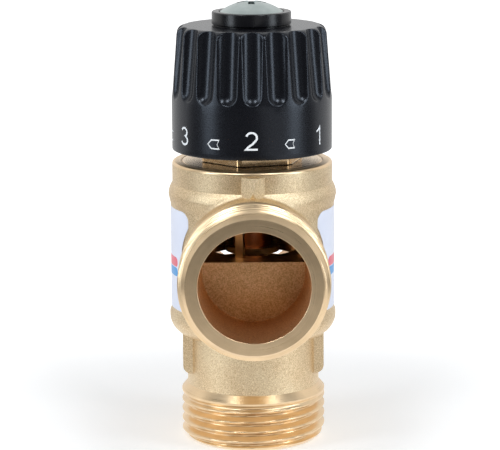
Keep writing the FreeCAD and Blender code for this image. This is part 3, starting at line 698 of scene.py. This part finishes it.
copper = plain_metal("copper_cup", (0.62, 0.27, 0.13), (0.75, 0.36, 0.2), 0.3, 0.0005, 0.00001)
spring_steel = plain_metal("spring_steel", (0.5, 0.5, 0.52), (0.62, 0.62, 0.64), 0.25, 0.0003, 0.000004)
screw_plate = plain_metal("plated_screw", (0.36, 0.42, 0.41), (0.50, 0.56, 0.55), 0.3, 0.0002, 0.000006)
knob_black = moulded("black_plastic", (0.0035, 0.0035, 0.005), (0.005, 0.005, 0.007), 0.25, 0.0003, 0.0000003,
                     Specular_IOR_Level=0.45, Specular_Tint=(0.80, 0.88, 1.0, 1.0))
collar_black = moulded("black_collar", (0.004, 0.004, 0.005), (0.006, 0.006, 0.008), 0.22, 0.0002, 0.0000003,
                       Specular_IOR_Level=0.4)
rubber = moulded("seal_rubber", (0.015, 0.015, 0.015), (0.03, 0.03, 0.03), 0.6, 0.0003, 0.000004)
wax = moulded("wax_charge", (0.75, 0.68, 0.5), (0.85, 0.78, 0.6), 0.45, 0.0006, 0.00001)
print_white = moulded("white_print", (0.80, 0.82, 0.84), (0.86, 0.88, 0.9), 0.45, 0.0001, 0.000002)
print("finishes so far:", len(bpy.data.materials))

# %% [markdown]
# ## Label
# Each side of the casting carries a white vinyl label with a red and a blue stripe for the hot and the cold side.
# The stripes are drawn by the material from the height and from the distance round the barrel, with round ends.


# %% Label finish
LABEL_R = 18.87 * MM
RED_STRIPE = (42.45 * MM, 1.15 * MM, 8.1 * MM)
BLUE_STRIPE = (40.15 * MM, 1.05 * MM, 8.1 * MM)


def label_vinyl(middle_x):
    made = Finish("label_vinyl_right" if middle_x > 0 else "label_vinyl_left", (0.77, 0.80, 0.93), 0.0, 0.34)
    made.set("Coat Weight", 0.25)
    made.set("Coat Roughness", 0.12)
    parts = made.tree.nodes.new("ShaderNodeSeparateXYZ")
    made.tree.links.new(made.place, parts.inputs[0])
    x, y, z = (made.wire(socket) for socket in parts.outputs)
    arc = y.math("ARCTAN2", x * middle_x) * LABEL_R

    def stripe(height, half_width, reach):
        across = z - height
        beyond = (arc.size() - (reach - half_width)).most(0.0)
        distance = (across * across + beyond * beyond).math("POWER", 0.5)
        return ((distance * -1.0 + half_width) * (1 / (0.06 * MM))).clamped()

    tint = made.effect(tint_group, Patch_Size=0.02)
    paper = made.mix(tint["Tint"], (0.74, 0.77, 0.90), (0.80, 0.83, 0.95))
    with_red = made.mix(stripe(*RED_STRIPE), paper, (0.82, 0.10, 0.16))
    made.colour_from(made.mix(stripe(*BLUE_STRIPE), with_red, (0.03, 0.32, 0.72)))
    grain = made.effect(grain_group, Grain_Size=0.0006, Pits=0.0)
    made.bump(grain["Height"], 0.000003)
    return made.material


def coated(material, *labels):
    """A CAD node that keeps its shape and only gets a finish."""
    for label in labels:
        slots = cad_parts[label].data.materials
        slots.clear()
        slots.append(material)


coated(label_vinyl(1), "label_right")
coated(label_vinyl(-1), "label_left")

# %% [markdown]
# ## Bonnet, cage and inner parts
# The bonnet's milled hexagon keeps bright flats with small bevels. Below it, a leg of the cage shows through
# the front port, with the copper cup of the wax element behind it.
# The return spring becomes a smooth copy of its CAD solid and stays where it stands.

# %% Bonnet and inside
dressed("bonnet_turned", "bonnet", "housing", [brass_hex], 0.18 * MM)
dressed("cage", "guide_cage", "housing", [brass_upright], 0.1 * MM)
dressed("seat", "hot_seat", "housing", [brass_upright], 0.1 * MM)
dressed("cup", "element_cup", "element", [copper], 0.15 * MM)
dressed("cup_guide", "element_guide", "element", [brass_upright], 0.1 * MM)
dressed("plunger", "overtravel_plunger", "element", [brass_upright], 0.08 * MM)
dressed("slide_sleeve", "shuttle", "slide_valve", [brass_upright], 0.1 * MM)
dressed("splined_spindle", "spindle", "stem", [brass_upright], 0.05 * MM)
coated(spring_steel, "overtravel_spring", "plunger_clip", "element_piston")
coated(rubber, "web_seal", "bonnet_seal", "spindle_seal_lower", "spindle_seal_upper")
coated(wax, "wax_charge")


def pressed_spring():
    """The return spring: a smooth copy of its CAD solid, baked where it stands. Gives back its height."""
    low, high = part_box("return_spring")
    spring = finished("pressed_spring", merged_copy("return_spring"), [spring_steel], angle=60)
    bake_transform(spring)
    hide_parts("return_spring")
    return high.z - low.z


print("return spring stands mm:", round(pressed_spring() / MM, 2))

# %% [markdown]
# ## Knob
# The knob is moulded in black plastic, with a plain skirt and twenty flutes that end in a ball shape.
# A flute is a leaning round groove, so the outside follows one rule, as the threads do: a grid is rolled
# round the axis, and each point takes the smaller of the moulding's own radius and the groove's.
# The Smooth Minimum keeps a small rounded lip on every flute, which is what catches the light.
# Its hollow inside comes from the CAD solid, and the two are zipped at the foot and at the crown.


# %% Fluted skin tree
KNOB_SIZES = {
    "Skirt Radius": 18.3 * MM, "Foot": knob_low.z, "Foot Round": 0.3 * MM, "Skirt Top": 79.6 * MM,
    "Crown Radius": 17.2 * MM, "Crown Height": 94.0 * MM, "Crown Round": 2.0 * MM, "Top": knob_high.z,
    "Flutes": 20.0, "Flute Radius": 2.7 * MM, "Depth Low": 1.35 * MM, "Depth Top": 1.55 * MM,
    "Lip": 0.32 * MM}
FOOT_SHARE, SKIRT_SHARE, CROWN_SHARE = 0.04, 0.06, 0.16
CONE_SHARE = 0.74
FOOT_START, CROWN_END = math.radians(12), math.radians(84)


def knob_tree():
    tree = bpy.data.node_groups.new("FlutedKnob", "GeometryNodeTree")
    add_output(tree, "Geometry", "NodeSocketGeometry")
    add_input(tree, "Columns", "NodeSocketInt", 481)
    add_input(tree, "Rows", "NodeSocketInt", 112)
    for name, value in KNOB_SIZES.items():
        add_input(tree, name, "NodeSocketFloat", value)
    add_input(tree, "Finish", "NodeSocketMaterial")
    start, end = tree.nodes.new("NodeGroupInput"), tree.nodes.new("NodeGroupOutput")

    def size(name):
        return Wire(tree, start.outputs[name])

    grid, turn, level = flat_grid(tree, start)
    run = level + 0.5
    foot_turn = (run / FOOT_SHARE).clamped() * (math.radians(90) - FOOT_START) + FOOT_START
    crown_turn = ((run - (1 - CROWN_SHARE)) / CROWN_SHARE).clamped() * CROWN_END
    up_skirt = ((run - FOOT_SHARE) / SKIRT_SHARE).clamped()
    up_cone = ((run - (FOOT_SHARE + SKIRT_SHARE)) / CONE_SHARE).clamped()
    plain = (size("Skirt Radius") - size("Foot Round") * (foot_turn.math("SINE") * -1.0 + 1.0)
             - (size("Skirt Radius") - size("Crown Radius")) * up_cone
             - size("Crown Round") * (crown_turn.math("COSINE") * -1.0 + 1.0))
    height = (size("Foot") + size("Foot Round") * (foot_turn.math("COSINE") * -1.0 + 1.0)
              + (size("Skirt Top") - size("Foot") - size("Foot Round")) * up_skirt
              + (size("Crown Height") - size("Skirt Top")) * up_cone
              + (size("Top") - size("Crown Height")) * crown_turn.math("SINE"))
    wide = size("Flute Radius")
    low_gap, top_gap = wide - size("Depth Low"), wide - size("Depth Top")
    nose = (wide * wide - low_gap * low_gap).math("POWER", 0.5) + size("Skirt Top")
    low_r, top_r = size("Skirt Radius") + low_gap, size("Crown Radius") + top_gap
    centre = low_r + (top_r - low_r) * (height - nose) / (size("Crown Height") - nose)
    share = ((turn * size("Flutes") + 0.5).math("FRACT") - 0.5) / size("Flutes") * (2 * math.pi)
    aside, below = centre * share.math("SINE"), (nose - height).most(0.0)
    inside = (wide * wide - aside * aside - below * below).most(0.0).math("POWER", 0.5)
    groove = centre * share.math("COSINE") - inside
    radius = plain.math("SMOOTH_MIN", groove, size("Lip"))
    roll_up(tree, start, end, grid, turn, radius, height)
    return tree


print("flutes:", int(KNOB_SIZES["Flutes"]), "of radius", KNOB_SIZES["Flute Radius"] / MM, "mm")


# %% Knob
UPRIGHT = {"origin": Vector((0, 0, 0)), "axis": Vector((0, 0, 1))}


def at_ring(vert, height, radius):
    along, out = along_and_out(UPRIGHT, vert.co)
    return abs(along - height) < 2e-5 and abs(out - radius) < 2e-5


def knob_moulding():
    bm = merged_copy("knob")
    foot_r = KNOB_SIZES["Skirt Radius"] - KNOB_SIZES["Foot Round"]
    crown_r = KNOB_SIZES["Crown Radius"] - KNOB_SIZES["Crown Round"]
    rims = ((knob_low.z, foot_r), (knob_high.z, crown_r))
    reached = {f for f in bm.faces if f.calc_center_median().xy.length > 18.25 * MM
               and knob_low.z + 1 * MM < f.calc_center_median().z < 79 * MM}
    edge_of = list(reached)
    while edge_of:
        for edge in edge_of.pop().edges:
            if any(all(at_ring(v, *rim) for v in edge.verts) for rim in rims):
                continue
            for face in edge.link_faces:
                if face not in reached:
                    reached.add(face)
                    edge_of.append(face)
    bmesh.ops.delete(bm, geom=list(reached), context="FACES")
    bm.from_mesh(grown("fluted_skin", knob_tree(), {"Columns": 481, "Rows": 112, **KNOB_SIZES}))
    crown_z = KNOB_SIZES["Crown Height"]
    foot_in = knob_low.z + KNOB_SIZES["Foot Round"] * (1 - math.cos(FOOT_START))
    crown_in = crown_z + (knob_high.z - crown_z) * math.sin(CROWN_END)
    for (at, radius), inset, way in zip(rims, (foot_in, crown_in), (-1, 1)):
        cut = ring_of(bm, UPRIGHT, at, radius, SAME_POINT)
        fluted = ring_of(bm, UPRIGHT, inset, radius, SAME_POINT)
        zip_rings(bm, cut, fluted, lambda p: Vector((0, 0, way)), 0)
    print("open edges left:", sum(e.is_boundary for e in bm.edges), "triangles:",
          sum(len(f.verts) - 2 for f in bm.faces))
    piece = finished("knob_moulding", bm, [knob_black], 0.0, angle=50)
    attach(piece, "stem")
    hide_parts("knob")


knob_moulding()

# %% [markdown]
# ## Collar and cap screw
# A glossy black ring sits on the crown, and the domed head of the cap screw fills it.

# %% Collar and cap screw
dressed("collar", "clamp_collar", "stem", [collar_black], 0.25 * MM)
dressed("cap_screw", "knob_screw", "stem", [screw_plate], 0.12 * MM)
print("knob's box in mm:", [round(v / MM, 1) for v in (*knob_low, *knob_high)])

# %% [markdown]
# ## Print on the knob
# Numbers 1 to 6 and the small arrows between them are pad-printed on the skirt.
# Each is a flat mesh that is cut fine and then bent round the skirt, a hair's breadth proud of it.

# %% Wrapping flat shapes
SKIRT_R = 18.3 * MM
STEP = math.radians(55.5)
LEAN = math.radians(0.8)
FIGURE_Z, ARROW_Z = 70.0 * MM, 71.1 * MM


def wrapped(bm, angle, height, lift=0.02 * MM):
    """Bends a flat shape in XY round the skirt: x becomes arc to the right, y becomes height."""
    bmesh.ops.triangulate(bm, faces=bm.faces)
    for _ in range(3):
        long_ones = [e for e in bm.edges if e.calc_length() > 0.45 * MM]
        if long_ones:
            bmesh.ops.subdivide_edges(bm, edges=long_ones, cuts=1)
            bmesh.ops.triangulate(bm, faces=bm.faces)
    for vert in bm.verts:
        turn = angle + vert.co.x / SKIRT_R
        out = SKIRT_R + lift + vert.co.z
        vert.co = Vector((out * math.sin(turn), -out * math.cos(turn), height + vert.co.y))
    for face in bm.faces:
        face.normal_update()
        middle_out = face.calc_center_median() * Vector((1, 1, 0))
        if face.normal.dot(middle_out) < 0:
            face.normal_flip()


def arc(centre, radii, start, end, count=14):
    """Points of an elliptic arc, with angles in degrees."""
    turns = [math.radians(start + (end - start) * i / count) for i in range(count + 1)]
    return [(centre[0] + radii[0] * math.cos(t), centre[1] + radii[1] * math.sin(t)) for t in turns]


FIGURES = {
    1: [[(-0.95, 3.05), (-0.45, 3.3), (0.0, 3.65), (0.3, 4.05), (0.3, 0.0)]],
    2: [arc((0, 2.85), (1.18, 1.1), 165, -25) + [(0.25, 1.45), (-0.75, 0.75), (-1.25, 0.2), (1.35, 0.2)]],
    3: [arc((-0.05, 3.0), (1.0, 0.95), 155, -70) + arc((-0.05, 1.17), (1.2, 0.98), 75, -158)],
    4: [[(0.55, 0.0), (0.55, 3.9), (-1.3, 1.15), (1.35, 1.15)]],
    5: [[(1.1, 3.9), (-0.75, 3.9), (-1.0, 2.1)] + arc((-0.02, 1.36), (1.2, 1.16), 132, -155)],
    6: [arc((0.0, 1.3), (1.15, 1.1), 0, 360, 26), arc((0.2, 1.55), (1.35, 2.35), 185, 52)],
}


def stroked(paths, width):
    """A flat pen stroke of one width along each path, with mitred corners."""
    bm = bmesh.new()
    for path in paths:
        points = [Vector((x * MM, y * MM, 0)) for x, y in path]
        rims = []
        for i, point in enumerate(points):
            before = (point - points[i - 1]).normalized() if i else None
            after = (points[i + 1] - point).normalized() if i + 1 < len(points) else None
            along = ((before or after) + (after or before)).normalized()
            side = Vector((-along.y, along.x, 0))
            straight = Vector((-(after or before).y, (after or before).x, 0))
            reach = width / 2 / max(0.45, side.dot(straight))
            rims.append((bm.verts.new(point + side * reach), bm.verts.new(point - side * reach)))
        for (a, b), (c, d) in zip(rims, rims[1:]):
            bm.faces.new((a, b, d, c))
    return bm


def print_piece(name, bm):
    mesh = bpy.data.meshes.new(name)
    bm.to_mesh(mesh)
    bm.free()
    mesh.materials.append(print_white)
    piece = bpy.data.objects.new(name, mesh)
    scene.collection.objects.link(piece)
    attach(piece, "stem")


for count, paths in FIGURES.items():
    shape = stroked(paths, 0.46 * MM)
    wrapped(shape, STEP * (2 - count) - LEAN, FIGURE_Z)
    print_piece(f"print_{count}", shape)
print("numbers printed: 1 to 6")


# %% Arrows
def arrow(width, height, stroke):
    """Outline of a stubby arrow that points left, with a notch in its tail."""
    def outline(inset):
        w, h = width / 2 - inset, height / 2 - inset
        return [Vector((-w - 0.2 * inset, 0, 0)), Vector((-w * 0.35, -h, 0)), Vector((w, -h, 0)),
                Vector((w * 0.62 + 0.3 * inset, 0, 0)), Vector((w, h, 0)), Vector((-w * 0.35, h, 0))]
    bm = bmesh.new()
    outer = [bm.verts.new(v) for v in outline(0.0)]
    inner = [bm.verts.new(v) for v in outline(stroke)]
    for i in range(len(outer)):
        j = (i + 1) % len(outer)
        bm.faces.new((outer[i], outer[j], inner[j], inner[i]))
    return bm


for count in range(1, 6):
    grow = 2.0 * MM + 0.55 * MM * count
    shape = arrow(grow, 2.0 * MM + 0.12 * MM * count, 0.3 * MM)
    wrapped(shape, STEP * (1.5 - count) - LEAN, ARROW_Z)
    print_piece(f"arrow_{count}", shape)
print("arrows printed: 5")

# %% [markdown]
# ## Floor
# A plain pale floor carries the valve. To the camera it glows white, less so close to the valve,
# where its brightness comes from the lamps and the valve's shadow shows.
# In mirrors it is a bright card behind and at the right, and a pale patch round the foot.


# %% Floor and world
def rays(tree):
    """Light Path outputs: camera or glass rays, and mirror rays."""
    path = tree.nodes.new("ShaderNodeLightPath")
    camera_ray, mirror, glass = (Wire(tree, path.outputs[name]) for name in (
        "Is Camera Ray", "Is Glossy Ray", "Is Transmission Ray"))
    return camera_ray.most(glass), mirror


def directions(tree, output):
    parts = tree.nodes.new("ShaderNodeSeparateXYZ")
    tree.links.new(tree.nodes.new("ShaderNodeTexCoord").outputs[output], parts.inputs[0])
    return [Wire(tree, socket) for socket in parts.outputs]


def floor():
    bm = bmesh.new()
    bmesh.ops.create_grid(bm, x_segments=8, y_segments=8, size=4.0)
    mesh = bpy.data.meshes.new("floor")
    bm.to_mesh(mesh)
    bm.free()
    material = bpy.data.materials.new("pale_floor")
    material.use_nodes = True
    tree = material.node_tree
    shader = tree.nodes["Principled BSDF"]
    direct, mirror = rays(tree)
    x, y, _ = directions(tree, "Object")
    reach = (x * x + y * y).math("POWER", 0.5)
    # What mirrors see: a bright part behind the valve, a card at the right front and a patch round the foot.
    behind = ((y - 0.02) / 0.12).smooth() * 0.9
    card = ((x - 0.10) / 0.06).smooth() * ((x * -1.0 + 0.36) / 0.08).smooth() * 1.25
    near = ((reach * -1.0 + 0.27) / 0.20).smooth() * 1.1
    mirrored = behind.most(card * ((y * -1.0) / 0.1).smooth()).most(near).most(0.12)
    grey = tree.nodes.new("ShaderNodeCombineXYZ")
    shade = mirror * -0.86 + 0.86
    for slot in grey.inputs:
        tree.links.new(shade.socket, slot)
    tree.links.new(grey.outputs[0], shader.inputs["Base Color"])
    shader.inputs["Roughness"].default_value = 0.9
    shader.inputs["Specular IOR Level"].default_value = 0.0
    shader.inputs["Emission Color"].default_value = (1, 1, 1, 1)
    # What the camera sees: white far off, and close to the valve the lamps' light with its shadow.
    far = ((reach - 0.03) / 0.17).smooth()
    glow = direct * (far * 0.7 + 0.30) + mirror * mirrored
    tree.links.new(glow.socket, shader.inputs["Emission Strength"])
    mesh.materials.append(material)
    plane = bpy.data.objects.new("floor", mesh)
    plane.location = (0, 0, -0.0002)
    scene.collection.objects.link(plane)


def studio_world():
    world = bpy.data.worlds.new("studio")
    world.use_nodes = True
    scene.world = world
    tree = world.node_tree
    back = tree.nodes["Background"]
    back.inputs["Color"].default_value = (1, 1, 1, 1)
    x, y, _ = directions(tree, "Generated")
    direct, mirror = rays(tree)
    side = ((x.size() - 0.6) / 0.3).smooth() * 0.25
    behind = ((y + 0.05) / 0.25).smooth() * 0.95
    mirrored = side.most(behind).most(0.06)
    fill = (direct.most(mirror) * -1.0 + 1.0) * 0.31
    tree.links.new((direct + mirror * mirrored + fill).socket, back.inputs["Strength"])


floor()
studio_world()
print("stage set")
